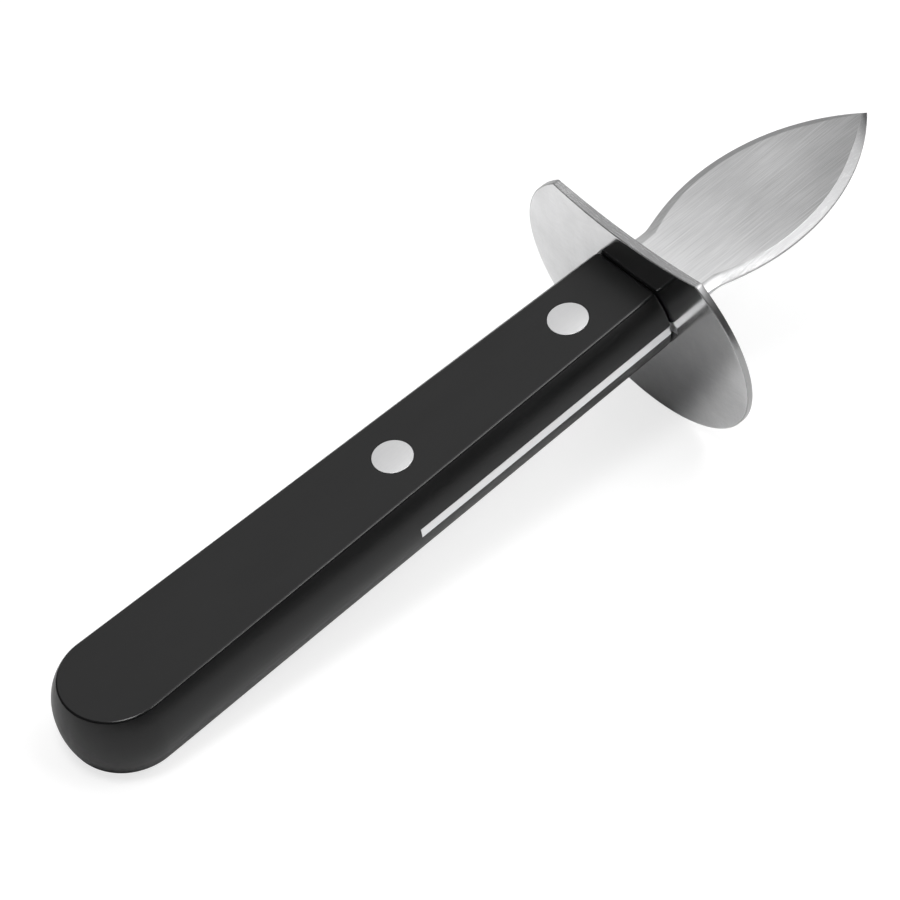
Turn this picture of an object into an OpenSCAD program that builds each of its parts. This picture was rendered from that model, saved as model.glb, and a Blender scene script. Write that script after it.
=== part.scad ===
// Oyster knife with a leaf-shaped blade, an oval guard and a riveted handle, in millimetres.
// X runs along the knife towards the tip, Y across the blade and Z up, square to the handle's flats.
// The origin is the middle of the front edge of the handle's lower flat, where it meets the guard.

/* [Blade] */
// Thickness of the steel plate that the blade and its tang are cut from
plate_t = 1.6; // [1.2:0.1:2.4]
// Width of the leaf-shaped blade at its widest
leaf_w = 20.2; // [18:0.2:24]
// Distance from the handle's front to the widest part of the leaf
leaf_x = 22.8; // [20:0.2:28]
// Radius of the leaf's curved edges, seen from above
leaf_r = 33.5; // [28:0.5:42]
// Width of the bevel ground along each edge
bevel_w = 1.3; // [0.6:0.1:2]
// Thickness left at the edge, which is blunt
edge_t = 0.4; // [0.2:0.05:0.8]
// Width of the neck between the guard and the leaf
neck_w = 15.2; // [12:0.2:16]

/* [Tang] */
// Length of the tang behind the guard
tang_l = 48.9; // [30:0.1:80]

/* [Guard] */
// Width of the oval guard
guard_w = 45.4; // [36:0.2:56]
// Height that the oval would have without the cut across its top
guard_h = 41.2; // [36:0.2:50]
// Distance of the oval's centre below the knife's axis
guard_drop = 2.3; // [0:0.1:4]
// Thickness of the guard at its middle
guard_t = 1.7; // [1.2:0.1:2.4]
// Radius of the guard's rounded back
guard_back_r = 357; // [300:1:900]
// Height of the middle of the top cut above the knife's axis
cut_h = 12.2; // [9:0.1:14]
// Radius of the hollow in the top cut
cut_r = 103; // [60:1:300]

/* [Handle] */
// Length of the handle's flats
flat_l = 104.7; // [90:0.1:130]
// Thickness of the handle between its two flats
handle_t = 11.7; // [9:0.1:16]
// Width of the flats at the guard
flat_front_w = 11.6; // [10:0.1:14]
// Width of the flats at the rounded butt
flat_rear_w = 16.2; // [14.4:0.1:20]
// How far the rounded sides swell out beyond the flats
side_bulge = 2.2; // [1:0.1:3]

/* [Rivets] */
// Distance of the front rivet behind the guard
rivet_front_x = 11.5; // [8:0.1:16]
// Distance of the rear rivet from the end of the tang
rivet_end = 3.9; // [3.2:0.1:8]
// Diameter of the rivet heads
head_d = 6; // [4:0.1:8]
// Thickness of the rivet heads
head_t = 1.2; // [0.8:0.1:2]
// Outer diameter of the rivets' tube shank
tube_d = 3.6; // [3:0.1:3.9]
// Diameter of the pin that is driven into the tube
pin_d = 2.2; // [1.4:0.1:2.4]

/* [Fits] */
// Clearance on each side of the plate in the handle's slot and in the guard
slot_gap = 0.02; // [0.01:0.01:0.1]
// Clearance round the rivets in their bores and head seats
rivet_gap = 0.05; // [0.02:0.01:0.1]
// Clearance of the pin in its tube, a drive fit
drive_gap = 0.01; // [0.005:0.005:0.03]
// Gap left at the end of each shank, so that the heads pull tight first
shank_end_gap = 0.4; // [0.2:0.1:1]

/* [Hidden] */
$fn = 96;
// Sides of the oval guard's outline
oval_sides = 144;
// Steps from the middle of the guard out to its rim, which make up the rounded back
dome_steps = 12;
// A little more than enough, where a cut passes right through
past = 1;

// Height of the knife's axis, which is the middle of the plate
axis_z = handle_t / 2;
// Plan of the handle: the flats end in a half circle, and its sides are tangent to it
butt_r = flat_rear_w / 2;
butt_x = -(flat_l - butt_r);
taper = 90 - atan2(flat_front_w / 2, -butt_x) - acos(butt_r / norm([butt_x, flat_front_w / 2]));
// The sides' section is an arc that passes through both edges of the flats
side_r = (axis_z ^ 2 + side_bulge ^ 2) / (2 * side_bulge);
// The leaf is where two discs overlap, and each disc's centre lies this far off the axis
leaf_off = leaf_r - leaf_w / 2;
// The neck runs on until the leaf's flat is as wide as the neck
neck_end = leaf_x - sqrt((leaf_r - bevel_w) ^ 2 - (leaf_off + neck_w / 2) ^ 2);
// Widest part of the tang, which the slot in the guard lets through
tang_w = 2 * handle_side_y(-tang_l);
// Distance of the rear rivet behind the guard
rivet_rear_x = tang_l - rivet_end;

// Distance of the handle's side from the axis, at the height of the plate
function handle_side_y(x) = flat_front_w / 2 + side_bulge / cos(taper) - x * tan(taper);

// One disc of the plate with its rim bevelled on both faces
module bevelled_disc() {
    rotate_extrude() polygon([
        [0, -plate_t / 2], [leaf_r - bevel_w, -plate_t / 2], [leaf_r, -edge_t / 2],
        [leaf_r, edge_t / 2], [leaf_r - bevel_w, plate_t / 2], [0, plate_t / 2]
    ]);
}

// The leaf, pointed where the two curved edges meet
module leaf() {
    intersection() {
        translate([leaf_x, leaf_off, 0]) bevelled_disc();
        translate([leaf_x, -leaf_off, 0]) bevelled_disc();
    }
}

// Plan of the neck, of the wide part that fills the guard, and of the tang flush with the handle's sides
module neck_and_tang_plan() {
    translate([0, -neck_w / 2]) square([neck_end, neck_w]);
    translate([0, -tang_w / 2]) square([guard_t, tang_w]);
    polygon([
        [0, handle_side_y(0)], [-tang_l, handle_side_y(-tang_l)],
        [-tang_l, -handle_side_y(-tang_l)], [0, -handle_side_y(0)]
    ]);
}

module blade() {
    color([0.72, 0.72, 0.73]) translate([0, 0, axis_z]) difference() {
        union() {
            leaf();
            translate([0, 0, -plate_t / 2]) linear_extrude(plate_t) neck_and_tang_plan();
        }
        at_rivets() cylinder(d = tube_d + 2 * rivet_gap, h = 2 * plate_t, center = true);
    }
}

// Oval outline of the guard, across and up
module guard_outline() {
    polygon([
        for (i = [0 : oval_sides - 1])
            [guard_w / 2 * cos(i * 360 / oval_sides), guard_h / 2 * sin(i * 360 / oval_sides)]
    ]);
}

// Round plate, flat in front and rounded behind, that is larger than the guard
module domed_plate() {
    rim = max(guard_w, guard_h) / 2 + guard_drop;
    back = [for (i = [0 : dome_steps]) let (r = rim * i / dome_steps) [r, r ^ 2 / (2 * guard_back_r)]];
    rotate([0, 90, 0]) rotate_extrude() polygon([each back, [rim, guard_t], [0, guard_t]]);
}

module guard() {
    color([0.78, 0.78, 0.79]) translate([0, 0, axis_z]) difference() {
        intersection() {
            domed_plate();
            translate([0, 0, -guard_drop]) rotate([90, 0, 90]) linear_extrude(guard_t) guard_outline();
        }
        translate([-past, 0, cut_h + cut_r]) rotate([0, 90, 0])
            cylinder(r = cut_r, h = guard_t + 2 * past, $fn = 4 * oval_sides);
        translate([-past, -tang_w / 2 - slot_gap, -plate_t / 2 - slot_gap])
            cube([guard_t + 2 * past, tang_w + 2 * slot_gap, plate_t + 2 * slot_gap]);
    }
}

// Half section of the handle, from its centre plane out to the rounded side
module side_section() {
    intersection() {
        translate([butt_r + side_bulge - side_r, 0]) circle(side_r);
        translate([0, -axis_z]) square([butt_r + side_bulge, handle_t]);
    }
}

// One side of the handle, running forwards from the round butt and past the guard
module handle_side() {
    rotate([0, 0, -taper]) rotate([90, 0, 90]) linear_extrude(-butt_x + butt_r) side_section();
}

module handle() {
    color([0.06, 0.06, 0.06]) translate([0, 0, axis_z]) difference() {
        translate([butt_x, 0, 0]) {
            rotate_extrude() side_section();
            handle_side();
            mirror([0, 1, 0]) handle_side();
        }
        translate([0, -flat_rear_w, -handle_t]) cube([2 * butt_r, 2 * flat_rear_w, 2 * handle_t]);
        translate([-tang_l - slot_gap, -flat_rear_w, -plate_t / 2 - slot_gap])
            cube([tang_l + slot_gap + past, 2 * flat_rear_w, plate_t + 2 * slot_gap]);
        at_rivets() rivet_seat();
    }
}

// Puts a shape at both rivets
module at_rivets() {
    for (x = [rivet_front_x, rivet_rear_x]) translate([-x, 0, 0]) children();
}

// Bore for a shank, with a seat for a head at each end
module rivet_seat() {
    cylinder(d = tube_d + 2 * rivet_gap, h = handle_t + 2 * past, center = true);
    for (side = [0, 1]) mirror([0, 0, side]) translate([0, 0, axis_z - head_t])
        cylinder(d = head_d + 2 * rivet_gap, h = head_t + past);
}

// Upper half of a rivet: a flush head with a tube below it
module rivet_tube(x) {
    tube_l = handle_t - 2 * head_t - shank_end_gap;
    color([0.8, 0.8, 0.81]) translate([-x, 0, handle_t - head_t]) {
        cylinder(d = head_d, h = head_t);
        translate([0, 0, -tube_l]) difference() {
            cylinder(d = tube_d, h = tube_l);
            translate([0, 0, -past]) cylinder(d = pin_d + 2 * drive_gap, h = tube_l + past);
        }
    }
}

// Lower half of a rivet: a flush head with a solid pin that fills the tube
module rivet_pin(x) {
    color([0.8, 0.8, 0.81]) translate([-x, 0, 0]) {
        cylinder(d = head_d, h = head_t);
        cylinder(d = pin_d, h = handle_t - head_t - shank_end_gap);
    }
}

blade();
guard();
handle();
rivet_tube(rivet_front_x);  // rivet_front_tube
rivet_pin(rivet_front_x);  // rivet_front_pin
rivet_tube(rivet_rear_x);  // rivet_rear_tube
rivet_pin(rivet_rear_x);  // rivet_rear_pin
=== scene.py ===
"""Dresses the oyster knife: a brushed blade, a polished guard, a satin black handle and flush rivets."""
import math

import bmesh
import bpy
import numpy as np
from mathutils import Matrix, Vector


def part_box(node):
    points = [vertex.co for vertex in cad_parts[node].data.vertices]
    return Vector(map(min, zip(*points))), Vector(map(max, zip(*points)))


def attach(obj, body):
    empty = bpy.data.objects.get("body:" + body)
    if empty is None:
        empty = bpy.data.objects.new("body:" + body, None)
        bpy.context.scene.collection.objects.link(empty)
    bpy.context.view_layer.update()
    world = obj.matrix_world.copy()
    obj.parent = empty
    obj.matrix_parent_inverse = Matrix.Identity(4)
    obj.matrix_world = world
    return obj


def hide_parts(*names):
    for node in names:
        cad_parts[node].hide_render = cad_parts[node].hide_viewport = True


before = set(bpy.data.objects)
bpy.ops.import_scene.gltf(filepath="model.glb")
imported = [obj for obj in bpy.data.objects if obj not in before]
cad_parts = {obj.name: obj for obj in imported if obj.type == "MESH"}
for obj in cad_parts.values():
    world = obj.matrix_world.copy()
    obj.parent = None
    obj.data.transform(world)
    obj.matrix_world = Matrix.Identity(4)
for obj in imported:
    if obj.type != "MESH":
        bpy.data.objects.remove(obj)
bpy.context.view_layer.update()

MM = 0.001

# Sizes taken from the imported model
handle_lo, handle_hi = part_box("handle")
guard_lo, guard_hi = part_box("guard")
blade_lo, blade_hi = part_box("blade")
head_lo, head_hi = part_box("rivet_front_tube")
HANDLE_T = handle_hi.z
AXIS_Z = HANDLE_T / 2
TIP_X = blade_hi.x
TANG_L = -blade_lo.x
PLATE_T = blade_hi.z - blade_lo.z
GUARD_T = guard_hi.x
GUARD_HALF_W = guard_hi.y
GUARD_LOW_Z = guard_lo.z
RIVET_PLACES = [(head_lo.x + head_hi.x) / 2, sum(c.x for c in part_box("rivet_rear_tube")) / 2]
HEAD_R = head_hi.y

# The model's other driving sizes
FLAT_L = 104.7 * MM
FLAT_FRONT_HALF_W = 5.8 * MM
BUTT_R = 8.1 * MM
GUARD_HALF_H = 20.6 * MM
GUARD_DROP = 2.3 * MM
GUARD_BACK_R = 357 * MM
CUT_H = 12.2 * MM
CUT_R = 103 * MM
LEAF_HALF_W = 10.1 * MM
LEAF_X = 22.8 * MM
LEAF_R = 33.5 * MM
NECK_HALF_W = 7.6 * MM
BEVEL_W = 1.3 * MM
EDGE_T = 0.4 * MM
HEAD_T = 1.2 * MM
TUBE_R = 1.8 * MM
PIN_R = 1.1 * MM
DRIVE_GAP = 0.01 * MM
SHANK_END_GAP = 0.4 * MM
SLOT_GAP = 0.02 * MM

# Swelling of the handle's sides in millimetres, by distance along the knife and by degrees round the butt
SIDE_BULGES = [(-96.4, 1.82), (-75, 2.02), (-55, 2.28), (-40, 2.42), (-20, 2.53), (0, 2.62)]
BUTT_BULGES = [(92, 1.82), (130, 1.65), (155, 1.4), (180, 1.3)]

# Roundings that show as lines of light
FLAT_EDGE_R = 0.5 * MM
BUTT_LOWER_EDGE_R = 1.4 * MM
FRONT_EDGE_R = 0.55 * MM
GUARD_EDGE_R = 0.16 * MM
HEAD_EDGE_R = 0.05 * MM

# Gaps that show as dark marks: round the rivets, and where the guard's slot stays open beside the tang
SEAT_GAP = 0.07 * MM
SLOT_MOUTH = 1.1 * MM


# Meshes

def surface(name, points, cap_first=False, sharp=20):
    """A mesh over a grid of points: each row is a closed ring, and each cell between two rows is one face.
    The first row can get a flat cap, and points that meet are merged."""
    rows, columns = points.shape[:2]
    here = np.arange(rows * columns).reshape(rows, columns)
    beside = np.roll(here, -1, axis=1)
    cells = np.stack([here[:-1], here[1:], beside[1:], beside[:-1]], axis=-1)
    faces = cells.reshape(-1, 4).tolist()
    if cap_first:
        faces.append(here[0].tolist())
    mesh = bpy.data.meshes.new(name)
    mesh.from_pydata(points.reshape(-1, 3).tolist(), [], faces)
    piece = bpy.data.objects.new(name, mesh)
    bpy.context.scene.collection.objects.link(piece)
    clean(piece, sharp)
    return piece


def clean(piece, sharp):
    """Merges points that meet, turns every face outwards and keeps edges over the sharp angle crisp."""
    work = bmesh.new()
    work.from_mesh(piece.data)
    bmesh.ops.remove_doubles(work, verts=work.verts, dist=0.0005 * MM)
    bmesh.ops.dissolve_degenerate(work, edges=work.edges, dist=0.0002 * MM)
    bmesh.ops.recalc_face_normals(work, faces=work.faces)
    work.to_mesh(piece.data)
    work.free()
    piece.data.shade_smooth()
    piece.data.set_sharp_from_angle(angle=math.radians(sharp))


def carve(piece, cutters, sharp=20):
    """Cuts the cutters out of the piece for good and removes them."""
    for cutter in cutters:
        cut = piece.modifiers.new(cutter.name, "BOOLEAN")
        cut.operation = "DIFFERENCE"
        cut.solver = "EXACT"
        cut.object = cutter
    view = bpy.context.evaluated_depsgraph_get()
    carved = bpy.data.meshes.new_from_object(piece.evaluated_get(view))
    piece.modifiers.clear()
    piece.data = carved
    for cutter in cutters:
        bpy.data.objects.remove(cutter)
    clean(piece, sharp)


def block(name, low, high):
    """A box between two corners: four rings, where the first and the last are points that close it."""
    (x0, y0, z0), (x1, y1, z1) = low, high
    rim = np.array([[y0, z0], [y1, z0], [y1, z1], [y0, z1]])
    middle = np.broadcast_to(rim.mean(axis=0), rim.shape)
    rings = [(x0, middle), (x0, rim), (x1, rim), (x1, middle)]
    points = np.array([[[x, y, z] for y, z in ring] for x, ring in rings])
    return surface(name, points)


def lathe(name, profile, place_x, sides=96, sharp=30):
    """A profile of radius and height turned about an upright axis.
    Each point lies at (place + radius cos a, radius sin a, height)."""
    profile = np.array(profile, float)
    angle = np.linspace(0, 2 * math.pi, sides, endpoint=False)
    radius, height = profile[:, 0:1], profile[:, 1:2]
    points = np.stack([
        place_x + radius * np.cos(angle), radius * np.sin(angle), height + 0 * angle
    ], axis=-1)
    return surface(name, points, sharp=sharp)


def smooth_step(low, high, x):
    """0 up to low, 1 from high on, and an S-shaped rise between them."""
    t = np.clip((x - low) / (high - low), 0, 1)
    return t * t * (3 - 2 * t)


# Handle

def handle_plan(rows_along=70, rows_round=64):
    """The flats' outline on one side, with its outward direction.
    It runs straight from the guard, tangent to the half circle of the butt, and follows that to the rear."""
    centre_x = -(FLAT_L - BUTT_R)
    reach = math.hypot(centre_x, FLAT_FRONT_HALF_W)
    start = math.atan2(FLAT_FRONT_HALF_W, -centre_x) + math.acos(BUTT_R / reach)
    turn = np.linspace(start, math.pi, rows_round)
    direction = np.stack([np.cos(turn), np.sin(turn)], axis=-1)
    arc = np.array([centre_x, 0]) + BUTT_R * direction
    share = np.linspace(0, 1, rows_along, endpoint=False)[:, None]
    front = np.array([0, (BUTT_R + centre_x * math.cos(start)) / math.sin(start)])
    straight = front * (1 - share) + arc[0] * share
    side = np.broadcast_to(direction[0], straight.shape)
    return np.concatenate([straight, arc]), np.concatenate([side, direction])


def side_bulge(x, direction):
    """How far the side swells out beyond the flats, which is less towards the butt and least at its end."""
    butt_start = math.radians(BUTT_BULGES[0][0])
    if direction[0] > math.cos(butt_start):
        return np.interp(x / MM, *zip(*SIDE_BULGES)) * MM
    turn = math.degrees(math.atan2(direction[1], direction[0]))
    return np.interp(turn, *zip(*BUTT_BULGES)) * MM


def side_profile(bulge, lower_edge_r):
    """Outward distance and height of the side: a small rounding, the swelling arc, and a rounding again."""
    arc_r = (AXIS_Z ** 2 + bulge ** 2) / (2 * bulge)
    arc_out = bulge - arc_r
    parts = []
    meets = []
    for edge_r, sign in ((FLAT_EDGE_R, 1), (lower_edge_r, -1)):
        edge_z = AXIS_Z - edge_r
        edge_out = arc_out + math.sqrt((arc_r - edge_r) ** 2 - edge_z ** 2)
        meets.append(math.atan2(edge_z, edge_out - arc_out))
        turn = np.linspace(math.pi / 2, meets[-1], 9)
        outward = edge_out + edge_r * np.cos(turn)
        height = sign * (edge_z + edge_r * np.sin(turn))
        parts.append(np.stack([outward, height], axis=-1))
    turn = np.linspace(meets[0], -meets[1], 34)[1:-1]
    swell = np.stack([arc_out + arc_r * np.cos(turn), arc_r * np.sin(turn)], axis=-1)
    return np.concatenate([parts[0], swell, parts[1][::-1]])


def front_inset(x):
    """How far the rounded front end has drawn in: a quarter round that ends at the guard."""
    into = np.clip(x + FRONT_EDGE_R, 0, FRONT_EDGE_R)
    return FRONT_EDGE_R - np.sqrt(FRONT_EDGE_R ** 2 - into ** 2)


def round_front(points):
    """Puts a quarter round in place of the first ring, as shrunken copies of that section."""
    half_w, half_t = points[0, :, 1:].max(axis=0)
    x = FRONT_EDGE_R * (np.sin(np.linspace(math.pi / 2, 0, 8)) - 1)
    front = np.repeat(points[:1], len(x), axis=0)
    front[:, :, 0] = x[:, None]
    front[:, :, 1] *= (1 - front_inset(x) / half_w)[:, None]
    front[:, :, 2] *= (1 - front_inset(x) / half_t)[:, None]
    return np.concatenate([front, points[1:]])


def handle_moulding():
    """The handle's skin: each ring is a whole section, made of the side profile carried along the plan,
    its mirror image, and the two flats filled straight across."""
    plan, direction = handle_plan()
    at_butt = smooth_step(-FLAT_L + 2 * BUTT_R, -FLAT_L + 0.6 * BUTT_R, plan[:, 0])
    lower_edge_r = FLAT_EDGE_R + (BUTT_LOWER_EDGE_R - FLAT_EDGE_R) * at_butt
    places = zip(plan, direction, lower_edge_r)
    profile = np.array([side_profile(side_bulge(place[0], way), edge_r) for place, way, edge_r in places])
    side = np.zeros((*profile.shape[:2], 3))
    side[:, :, :2] = plan[:, None, :] + profile[:, :, :1] * direction[:, None, :]
    side[:, :, 2] = profile[:, :, 1]
    across = np.array([0, 0.35, 0.7, 0.93, 0.99])
    flat = np.repeat(side[:, :1, :], len(across), axis=1)
    flat[:, :, 1] *= across
    lower_flat = flat[:, ::-1].copy()
    lower_flat[:, :, 2] *= -1
    half = np.concatenate([flat, side, lower_flat], axis=1)
    mirrored = half[:, -2:0:-1] * [1, -1, 1]
    points = round_front(np.concatenate([half, mirrored], axis=1)) + [0, 0, AXIS_Z]
    piece = surface("handle_moulding", points, cap_first=True)
    slot_half = PLATE_T / 2 + SLOT_GAP
    slot = block(
        "slot_cutter", (-TANG_L - SLOT_GAP, -2 * BUTT_R, AXIS_Z - slot_half),
        (BUTT_R, 2 * BUTT_R, AXIS_Z + slot_half)
    )
    seat_r, bore_r, past = HEAD_R + SEAT_GAP, TUBE_R + SEAT_GAP, 1 * MM
    spool = [
        (0, -past), (seat_r, -past), (seat_r, HEAD_T), (bore_r, HEAD_T),
        (bore_r, HANDLE_T - HEAD_T), (seat_r, HANDLE_T - HEAD_T),
        (seat_r, HANDLE_T + past), (0, HANDLE_T + past)
    ]
    spools = [lathe(f"seat_cutter_{i}", spool, x) for i, x in enumerate(RIVET_PLACES)]
    carve(piece, [slot, *spools])
    return piece


# Guard

def guard_reach(angle):
    """Distance from the oval's centre to the outline: to the oval, or to the hollow cut where that is nearer.
    The cut is a circle whose centre lies a rise above the oval's, so its near side is at
    rise sin a - sqrt(R squared - (rise cos a) squared)."""
    c, s = np.cos(angle), np.sin(angle)
    oval = 1 / np.sqrt((c / GUARD_HALF_W) ** 2 + (s / GUARD_HALF_H) ** 2)
    rise = CUT_H + CUT_R + GUARD_DROP
    root = (rise * s) ** 2 - rise ** 2 + CUT_R ** 2
    cut = rise * s - np.sqrt(np.maximum(root, 0))
    return np.where((s > 0) & (root > 0), np.minimum(oval, cut), oval)


def guard_back(y, z):
    """How far forward the rounded back lies: a bowl about the knife's axis, distance squared over 2 R."""
    return (y ** 2 + z ** 2) / (2 * GUARD_BACK_R)


def guard_plate():
    """The guard: flat front, rounded back, and a rim whose two edges are rounded.
    Its rings go from the middle of the front out over the rim to the middle of the back."""
    angle = np.linspace(0, 2 * math.pi, 720, endpoint=False)
    reach = guard_reach(angle)
    corner = np.linspace(0, math.pi / 2, 7)
    inset = GUARD_EDGE_R * (1 - np.sin(corner))
    drop = GUARD_EDGE_R * (1 - np.cos(corner))
    rings = [(share * (reach - GUARD_EDGE_R), 0) for share in (0, 0.3, 0.55, 0.75, 0.9, 0.975)]
    rings += [(reach - i, d) for i, d in zip(inset, drop)]
    front = []
    back = []
    for radius, depth in rings:
        y = radius * np.cos(angle)
        z = radius * np.sin(angle) - GUARD_DROP
        front.append(np.stack([GUARD_T - depth + 0 * y, y, z + AXIS_Z], axis=-1))
        back.append(np.stack([guard_back(y, z) + depth, y, z + AXIS_Z], axis=-1))
    piece = surface("guard_plate", np.array(front + back[::-1]), sharp=30)
    slot_half_w = tang_half_width(-TANG_L) + SLOT_GAP
    slot_half_t = PLATE_T / 2 + SLOT_GAP
    slot = block(
        "guard_slot_cutter", (-GUARD_T, -slot_half_w, AXIS_Z - slot_half_t),
        (2 * GUARD_T, slot_half_w, AXIS_Z + slot_half_t)
    )
    carve(piece, [slot], sharp=30)
    return piece


# Blade

def tang_half_width(x):
    """Half width of the tang, which lies flush with the handle's swelling side."""
    plan, direction = handle_plan()
    slope = (plan[1, 1] - plan[0, 1]) / (plan[1, 0] - plan[0, 0])
    return plan[0, 1] + side_bulge(x, direction[0]) / direction[0, 1] + slope * x


def leaf_half_width(x):
    """Half width of the leaf, an arc on each side: w - (R - sqrt(R squared - distance squared))."""
    return LEAF_HALF_W - LEAF_R + np.sqrt(np.maximum(LEAF_R ** 2 - (x - LEAF_X) ** 2, 0))


def blank_half_width(x):
    """Half width of the whole blank: the tang, the collar in the guard, the neck and the leaf.
    The tang runs on into the mouth of the guard's slot, and the neck into the leaf through a smooth maximum,
    (a + b + sqrt((a - b) squared + soft squared)) / 2."""
    leaf = leaf_half_width(x)
    soft = 0.35 * MM
    blade = (NECK_HALF_W + leaf + np.sqrt((NECK_HALF_W - leaf) ** 2 + soft ** 2)) / 2
    blade = np.where(x > LEAF_X, leaf, blade)
    width = np.where(x < GUARD_T, tang_half_width(-TANG_L), blade)
    return np.where(x < SLOT_MOUTH, tang_half_width(np.minimum(x, 0)) - front_inset(x), width)


def blade_blank():
    """The blade and tang: each ring is a section across the plate, from the middle of the top face over the
    bevel and the blunt edge to the middle of the lower face, and back by the other side.
    The bevel widens and softens towards the neck, where it ends, and narrows at the tip."""
    step = 0.01 * MM
    stations = np.concatenate([
        np.linspace(-TANG_L, -FRONT_EDGE_R, 16, endpoint=False), np.linspace(-FRONT_EDGE_R, 0, 8),
        [SLOT_MOUTH - step, SLOT_MOUTH + step, GUARD_T - step, GUARD_T + step],
        np.linspace(GUARD_T + 0.5 * MM, LEAF_X, 90, endpoint=False),
        LEAF_X + (TIP_X - LEAF_X) * np.sin(np.linspace(0, math.pi / 2, 110))
    ])
    half_w = blank_half_width(stations)
    half_w[-1] = 0
    past_widest = np.maximum(stations - LEAF_X, 0)
    tiny = 1e-12
    slope = past_widest / np.sqrt(LEAF_R ** 2 - past_widest ** 2 + tiny)
    lean = np.sqrt(1 + slope ** 2)
    along = stations / MM
    before_tip = TIP_X / MM - along
    bevel = np.interp(along, [2, 9, 20], [0.9, 1.7, BEVEL_W / MM]) * MM
    bevel *= np.interp(before_tip, [0, 2, 7], [0.5, 0.72, 1])
    depth = (PLATE_T - EDGE_T) / 2 * np.interp(along, [2, 10], [0, 1])
    rounding = np.interp(along, [10, 21], [1.9, 1])
    run = np.minimum(half_w / lean, bevel)
    flat_w = half_w - run * lean
    top = PLATE_T / 2 - depth * (1 - (run / bevel) ** rounding)
    columns = [(flat_w * share, top) for share in (0, 0.3, 0.6, 0.85, 0.97)]
    for share in np.linspace(0, 1, 8):
        fall = depth * (run / bevel) ** rounding * share ** rounding
        columns.append((flat_w + (half_w - flat_w) * share, top - fall))
    y = np.stack([across for across, up in columns], axis=1)
    z = np.stack([up for across, up in columns], axis=1)
    half = np.stack([
        np.repeat(stations[:, None], 2 * y.shape[1], axis=1),
        np.concatenate([y, y[:, ::-1]], axis=1), np.concatenate([z, -z[:, ::-1]], axis=1)
    ], axis=-1)
    mirrored = half[:, -2:0:-1] * [1, -1, 1]
    points = np.concatenate([half, mirrored], axis=1) + [0, 0, AXIS_Z]
    piece = surface("blade_blank", points, cap_first=True, sharp=16)
    bore_r = TUBE_R + SEAT_GAP
    bore = [(0, 0), (bore_r, 0), (bore_r, HANDLE_T), (0, HANDLE_T)]
    carve(piece, [lathe(f"bore_cutter_{i}", bore, x) for i, x in enumerate(RIVET_PLACES)], sharp=16)
    return piece


# Rivets

def head_edge(face_z, inwards):
    """Quarter round from a head's face to its rim. Inwards is -1 for an upper head and 1 for a lower one."""
    turn = np.linspace(0, math.pi / 2, 6)
    radius = HEAD_R - HEAD_EDGE_R + HEAD_EDGE_R * np.sin(turn)
    height = face_z + inwards * HEAD_EDGE_R * (1 - np.cos(turn))
    return list(zip(radius, height))


def rivet_tube(name, place_x):
    """Upper half of a rivet: a flush head with an open tube below it."""
    under = HANDLE_T - HEAD_T
    end = HEAD_T + SHANK_END_GAP
    bore_r = PIN_R + DRIVE_GAP
    profile = [(0, HANDLE_T), *head_edge(HANDLE_T, -1), (HEAD_R, under), (TUBE_R, under)]
    profile += [(TUBE_R, end), (bore_r, end), (bore_r, under), (0, under)]
    return lathe(name, profile, place_x)


def rivet_pin(name, place_x):
    """Lower half of a rivet: a flush head with the solid pin that fills the tube."""
    end = HANDLE_T - HEAD_T - SHANK_END_GAP
    profile = [(0, 0), *head_edge(0, 1), (HEAD_R, HEAD_T), (PIN_R, HEAD_T), (PIN_R, end), (0, end)]
    return lathe(name, profile, place_x)


# Finishes

class Value:
    """A number that varies over a surface. Arithmetic on it adds Math nodes to its finish."""

    def __init__(self, finish, socket):
        self.finish = finish
        self.socket = socket

    def math(self, operation, first, second):
        node = self.finish.node("ShaderNodeMath", {"operation": operation}, {0: first, 1: second})
        return Value(self.finish, node.outputs[0])

    def __add__(self, other):
        return self.math("ADD", self, other)

    def __sub__(self, other):
        return self.math("SUBTRACT", self, other)

    def __rsub__(self, other):
        return self.math("SUBTRACT", other, self)

    def __mul__(self, other):
        return self.math("MULTIPLY", self, other)

    def __pow__(self, other):
        return self.math("POWER", self, other)

    def __abs__(self):
        return self.math("ABSOLUTE", self, 0.0)

    def larger(self, other):
        return self.math("MAXIMUM", self, other)

    __radd__ = __add__
    __rmul__ = __mul__


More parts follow.
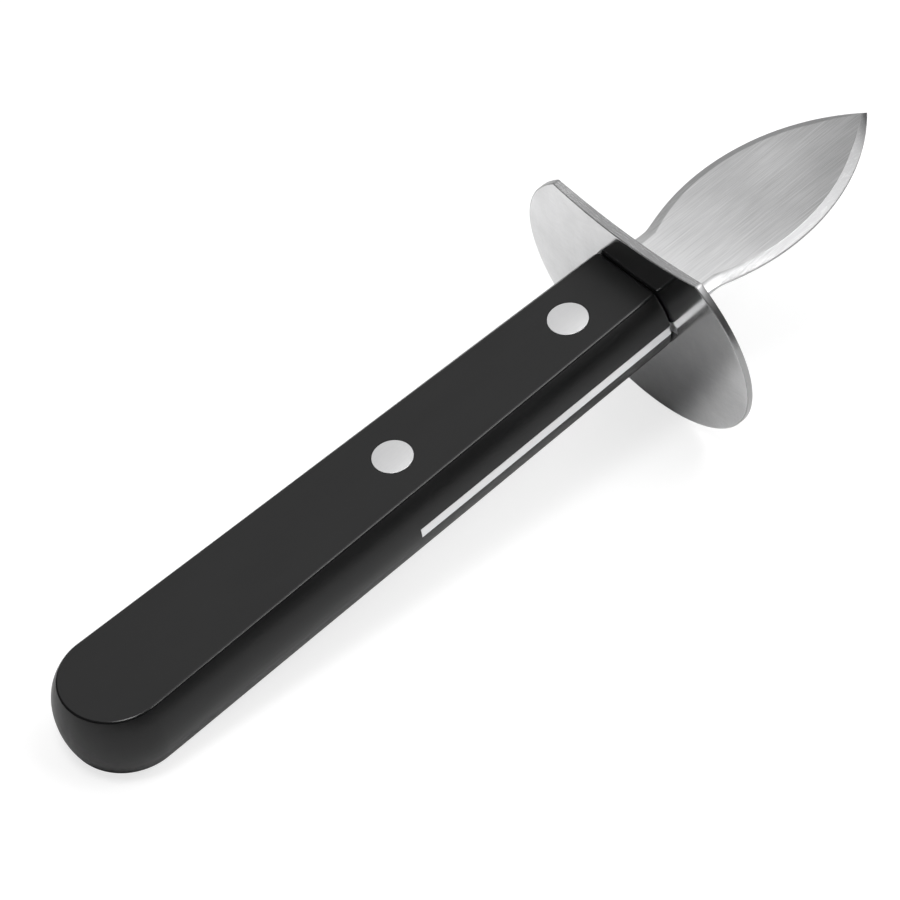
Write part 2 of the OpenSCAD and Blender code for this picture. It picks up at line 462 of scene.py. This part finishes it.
class Finish:
    """The node tree of a material or of the world, built by one method that makes any node."""

    def __init__(self, tree):
        self.tree = tree
        tree.nodes.clear()

    def node(self, kind, settings=None, inputs=None):
        node = self.tree.nodes.new(kind)
        for name, setting in (settings or {}).items():
            setattr(node, name, setting)
        for name, given in (inputs or {}).items():
            if isinstance(given, Value):
                given = given.socket
            if isinstance(given, bpy.types.NodeSocket):
                self.tree.links.new(given, node.inputs[name])
            else:
                node.inputs[name].default_value = given
        return node

    def place(self, scale):
        """Object coordinates in metres times a scale, so that the pattern has scale cycles in a metre."""
        where = self.node("ShaderNodeTexCoord").outputs["Object"]
        return self.node("ShaderNodeMapping", inputs={"Vector": where, "Scale": scale}).outputs[0]

    def along(self, axis):
        """Distance in metres from the origin along X, Y or Z."""
        where = self.node("ShaderNodeTexCoord").outputs["Object"]
        parts = self.node("ShaderNodeSeparateXYZ", inputs={"Vector": where})
        return Value(self, parts.outputs[axis])

    def noise(self, scale, detail=3.0, roughness=0.5):
        """Noise from 0 to 1 with so many cycles in a metre along X, Y and Z."""
        inputs = {"Vector": self.place(scale), "Scale": 1.0, "Detail": detail, "Roughness": roughness}
        return Value(self, self.node("ShaderNodeTexNoise", inputs=inputs).outputs[0])

    def ramp(self, value, low, high, start=0.0, end=1.0):
        """The value's range from low to high turned into start to end, smoothly and held at both ends."""
        settings = {"interpolation_type": "SMOOTHSTEP"}
        inputs = {"Value": value, "From Min": low, "From Max": high, "To Min": start, "To Max": end}
        return Value(self, self.node("ShaderNodeMapRange", settings, inputs).outputs[0])

    def tint(self, value, dark, light):
        """A colour between dark and light by the value."""
        inputs = {0: value, 6: (*dark, 1), 7: (*light, 1)}
        return self.node("ShaderNodeMix", {"data_type": "RGBA"}, inputs).outputs[2]

    def bump(self, height, depth):
        """A normal bent by the height, which is so many metres deep."""
        return self.node("ShaderNodeBump", inputs={"Height": height, "Distance": depth}).outputs[0]

    def surface(self, **sockets):
        """Ends the tree in one principled shader. Spaces in socket names are written as underscores."""
        inputs = {name.replace("_", " "): given for name, given in sockets.items()}
        shader = self.node("ShaderNodeBsdfPrincipled", inputs=inputs)
        self.node("ShaderNodeOutputMaterial", inputs={"Surface": shader.outputs[0]})


def material(name):
    """A new material and the finish that its nodes are made with."""
    made = bpy.data.materials.new(name)
    made.use_nodes = True
    return made, Finish(made.node_tree)


def satin_black_plastic():
    """Moulded black plastic: a fine spark-eroded grain, with faint polished streaks from the hand.
    The edges of the two flats are rubbed smoother than the rest."""
    made, finish = material("satin_black_plastic")
    grain = finish.noise((5200, 5200, 5200), detail=4, roughness=0.6)
    clouds = finish.noise((70, 160, 160), detail=3)
    rubbed = finish.noise((90, 1500, 1500), detail=4, roughness=0.55)
    height = abs(finish.along("Z") - AXIS_Z)
    edge = finish.ramp(height, AXIS_Z - 0.3 * MM, AXIS_Z - 0.2 * MM)
    edge = edge * finish.ramp(height, AXIS_Z - 0.03 * MM, AXIS_Z - 0.005 * MM, 1.0, 0.0)
    satin = 0.31 + 0.06 * clouds + 0.05 * finish.ramp(rubbed, 0.35, 0.7)
    finish.surface(
        Base_Color=finish.tint(clouds, (0.006, 0.006, 0.0062), (0.009, 0.009, 0.0092)),
        Roughness=satin * (1 - 0.45 * edge),
        IOR=1.44,
        Normal=finish.bump(grain + 0.25 * rubbed, 0.0035 * MM),
    )
    return made


def brushed_blade_steel():
    """Stainless plate brushed lengthwise: long fine scratches, a few deeper ones, and a soft cloudiness.
    The neck and the tang are painted lighter, a painted highlight that stands in for brighter reflections
    there, and the tip, most on its right side, and the bevels are painted darker, painted shade that holds
    down their reflections. The bevels are found as the strip along the edge of the two discs that make the
    leaf, or along the edge of the neck."""
    made, finish = material("brushed_blade_steel")
    fine = finish.noise((120, 14000, 14000), detail=5, roughness=0.65)
    coarse = finish.noise((80, 3600, 3600), detail=3, roughness=0.6)
    clouds = finish.noise((110, 190, 190), detail=3)
    scratches = 0.7 * fine + 0.3 * coarse
    along = finish.along("X")
    # Painted highlight: the colour lightens towards the neck and stands in for brighter reflections there
    neck = finish.ramp(along, 4 * MM, 26 * MM, 0.7, 0.22)
    # Painted shade: the colour darkens towards the tip and its right side, for a dimmer reflection there
    tip = finish.ramp(along - 0.6 * finish.along("Y"), 24 * MM, 48 * MM, 0.0, 0.36)
    # Painted highlight: the tang's edge by the guard is lightened so that the floor it mirrors reads brighter
    tang = finish.ramp(along, 0.0, 0.5 * MM, 0.6, 0.0)
    across = abs(finish.along("Y"))
    from_disc = ((along - LEAF_X) ** 2 + (across + LEAF_R - LEAF_HALF_W) ** 2) ** 0.5
    in_leaf = LEAF_R - from_disc
    past_neck = finish.ramp(along, 19 * MM, 22 * MM, 0.0, 20 * MM)
    in_neck = NECK_HALF_W - across - past_neck
    narrowing = finish.ramp(along, TIP_X - 7 * MM, TIP_X, 0.0, 0.5 * BEVEL_W)
    bevel_w = finish.ramp(along, 6 * MM, 20 * MM, 1.65 * MM, BEVEL_W) - narrowing
    bevel = finish.ramp(in_leaf.larger(in_neck) - bevel_w, -0.12 * MM, 0.12 * MM, 1.0, 0.0)
    bevel = bevel * finish.ramp(along, 2 * MM, 8 * MM)
    brushing = 0.44 * finish.ramp(scratches, 0.3, 0.72) + 0.3 * (clouds - 0.5)
    # Painted shade on the bevels (0.48) holds down the lamps' reflection in them
    shade = neck - tip * (1 - bevel) + tang + 0.03 + brushing - 0.48 * bevel
    finish.surface(
        Base_Color=finish.tint(shade, (0.34, 0.34, 0.343), (0.9, 0.9, 0.905)),
        Metallic=1.0,
        Roughness=0.32 + 0.08 * scratches + 0.06 * clouds,
        Normal=finish.bump(scratches, 0.0022 * MM),
    )
    return made


def polished_guard_steel():
    """Buffed stainless: mirror-like, with faint rubbing lines both ways and a haze that comes and goes.
    The blanked rim, on the oval and in the hollow of the cut, is left duller, and its colour is painted
    darker, painted shade that holds down the lamps' reflection on the rim."""
    made, finish = material("polished_guard_steel")
    lines = finish.noise((6000, 420, 5200), detail=4, roughness=0.6)
    cross = finish.noise((6000, 3600, 300), detail=4, roughness=0.6)
    haze = finish.noise((150, 150, 150), detail=4, roughness=0.6)
    across = finish.along("Y")
    up = finish.along("Z") - AXIS_Z
    to_cut = (across ** 2 + (up - CUT_H - CUT_R) ** 2) ** 0.5 - CUT_R
    to_rim = ((across * (1 / GUARD_HALF_W)) ** 2 + ((up + GUARD_DROP) * (1 / GUARD_HALF_H)) ** 2) ** 0.5
    rim = finish.ramp(to_cut, 0.1 * MM, 0.2 * MM, 1.0, 0.0) + 1.4 * finish.ramp(to_rim, 0.991, 0.996)
    marks = finish.ramp(lines, 0.42, 0.75) + 0.6 * finish.ramp(cross, 0.45, 0.75)
    # Painted shade: the colour is darkened on the rim to hold down the lamps' reflection there
    shade = 0.55 + 0.5 * haze + 0.14 * marks - 0.7 * rim
    finish.surface(
        Base_Color=finish.tint(shade, (0.4, 0.4, 0.403), (0.9, 0.9, 0.905)),
        Metallic=1.0,
        Roughness=0.1 + 0.07 * haze + 0.04 * marks + 0.12 * rim,
        Normal=finish.bump(lines + 0.6 * cross, 0.0009 * MM),
    )
    return made


def ground_rivet_steel():
    """Rivet heads ground flush and lightly polished: very fine lines along the handle."""
    made, finish = material("ground_rivet_steel")
    lines = finish.noise((500, 16000, 16000), detail=4, roughness=0.6)
    clouds = finish.noise((350, 350, 350), detail=2)
    finish.surface(
        Base_Color=finish.tint(lines, (0.72, 0.72, 0.725), (0.86, 0.86, 0.865)),
        Metallic=1.0,
        Roughness=0.34 + 0.08 * lines + 0.05 * clouds,
        Normal=finish.bump(lines, 0.001 * MM),
    )
    return made


# Pieces of the knife

def dress(piece, finish, slot, *nodes):
    """Gives a piece its finish, lets it ride on the knife and puts it in place of its nodes."""
    piece.data.materials.clear()
    piece.data.materials.append(finish)
    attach(piece, "root")
    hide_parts(*nodes)


rivet_finish = ground_rivet_steel()
dress(handle_moulding(), satin_black_plastic(), "handle_plastic", "handle")
dress(guard_plate(), polished_guard_steel(), "guard_steel", "guard")
dress(blade_blank(), brushed_blade_steel(), "blade_steel", "blade")
for place_name, place_x in zip(("front", "rear"), RIVET_PLACES):
    tube = rivet_tube(f"{place_name}_rivet_tube", place_x)
    dress(tube, rivet_finish, "rivet_steel", f"rivet_{place_name}_tube")
    pin = rivet_pin(f"{place_name}_rivet_pin", place_x)
    dress(pin, rivet_finish, "rivet_steel", f"rivet_{place_name}_pin")


# Stage

def studio_floor():
    """The surface that the knife lies on. It touches the guard's lowest point and the lower edge of the butt,
    so it is tilted in the knife's own frame. It is pale, and lifted to white where the camera looks at it."""
    touch_x = guard_back(0, GUARD_LOW_Z - AXIS_Z)
    slope = GUARD_LOW_Z / (touch_x + FLAT_L)
    reach = 2.5
    sunk = 0.02 * MM
    plan = [(-reach, -reach), (reach, -reach), (reach, reach), (-reach, reach)]
    corners = [(x, y, GUARD_LOW_Z + slope * (x - touch_x) - sunk) for x, y in plan]
    mesh = bpy.data.meshes.new("floor")
    mesh.from_pydata(corners, [], [(0, 1, 2, 3)])
    floor = bpy.data.objects.new("floor", mesh)
    bpy.context.scene.collection.objects.link(floor)
    made, finish = material("pale_floor")
    path = finish.node("ShaderNodeLightPath")
    seen = Value(finish, path.outputs["Is Camera Ray"])
    mirrored = Value(finish, path.outputs["Is Glossy Ray"])
    paint = finish.node("ShaderNodeBsdfDiffuse", inputs={"Color": (0.9, 0.9, 0.9, 1)})
    lift = finish.node("ShaderNodeEmission", inputs={"Strength": 1.3})
    share = 0.58 * seen + 0.01 * mirrored
    both = finish.node("ShaderNodeMixShader", inputs={0: share, 1: paint.outputs[0], 2: lift.outputs[0]})
    finish.node("ShaderNodeOutputMaterial", inputs={"Surface": both.outputs[0]})
    mesh.materials.append(made)


def studio_world():
    """Soft studio surroundings: a broad glow high in front and to the left, a smaller one low on the left,
    and a dim room elsewhere. The camera sees plain white.
    Each glow has a strength, the cosines at its rim and where it is full, and the way to its middle."""
    world = bpy.data.worlds.new("studio")
    bpy.context.scene.world = world
    world.use_nodes = True
    finish = Finish(world.node_tree)
    way = finish.node("ShaderNodeTexCoord").outputs["Generated"]
    settings = {"operation": "DOT_PRODUCT"}
    light = 0.05
    glows = [(0.8, 0.64, 0.97, (0.42, 0.4, 0.82)), (0.9, 0.85, 0.98, (0.36, 0.93, 0.08))]
    for strength, rim, full, middle in glows:
        inputs = {0: way, 1: Vector(middle).normalized()}
        facing = Value(finish, finish.node("ShaderNodeVectorMath", settings, inputs).outputs["Value"])
        light = light + strength * finish.ramp(facing, rim, full)
    seen = Value(finish, finish.node("ShaderNodeLightPath").outputs["Is Camera Ray"])
    light = light * (1 - seen) + seen
    shade = finish.node("ShaderNodeBackground", inputs={"Strength": light})
    finish.node("ShaderNodeOutputWorld", inputs={"Surface": shade.outputs[0]})


def softbox(name, middle_x, towards, distance, size, radiance):
    """A rectangular lamp in the given direction from a point on the knife's axis, facing it.
    Its power is its radiance times its area times pi."""
    width, height = size
    lamp = bpy.data.lights.new(name, "AREA")
    lamp.shape = "RECTANGLE"
    lamp.size = width
    lamp.size_y = height
    lamp.energy = radiance * width * height * math.pi
    box = bpy.data.objects.new(name, lamp)
    bpy.context.scene.collection.objects.link(box)
    way = Vector(towards).normalized()
    box.location = Vector((middle_x, 0, AXIS_Z)) + distance * way
    box.rotation_euler = way.to_track_quat("Z", "Y").to_euler()
    box.visible_camera = False


def photo_camera():
    """The camera at the photograph's place: far off with a long lens, and rolled a little."""
    camera = bpy.data.cameras.new("photo_camera")
    camera.sensor_width = 36
    camera.lens = 286.7
    camera.clip_start = 0.05
    holder = bpy.data.objects.new("photo_camera", camera)
    bpy.context.scene.collection.objects.link(holder)
    place = Vector((-0.38907, -0.55165, 0.76983))
    aim = Vector((-0.03612, -0.00103, 0.00585))
    roll = math.radians(-12.31)
    facing = (aim - place).to_track_quat("-Z", "Y").to_matrix().to_4x4()
    holder.matrix_world = Matrix.Translation(place) @ facing @ Matrix.Rotation(roll, 4, "Z")
    bpy.context.scene.camera = holder


studio_floor()
studio_world()
# The key casts the handle's shadow, which the guard mirrors. The overhead box brightens the right bevel,
# and the narrow one draws the line of light along the edge of the flat.
softbox("key_softbox", -0.02, (-0.14, -0.1, 0.98), distance=0.8, size=(0.22, 0.22), radiance=14)
softbox("overhead_softbox", -0.02, (0.58, -0.16, 0.8), distance=0.7, size=(0.52, 0.52), radiance=2.1)
softbox("edge_softbox", -0.04, (0.38, -0.52, 0.77), distance=0.65, size=(0.3, 0.1), radiance=8.5)
photo_camera()
bpy.context.scene.view_settings.view_transform = "Standard"
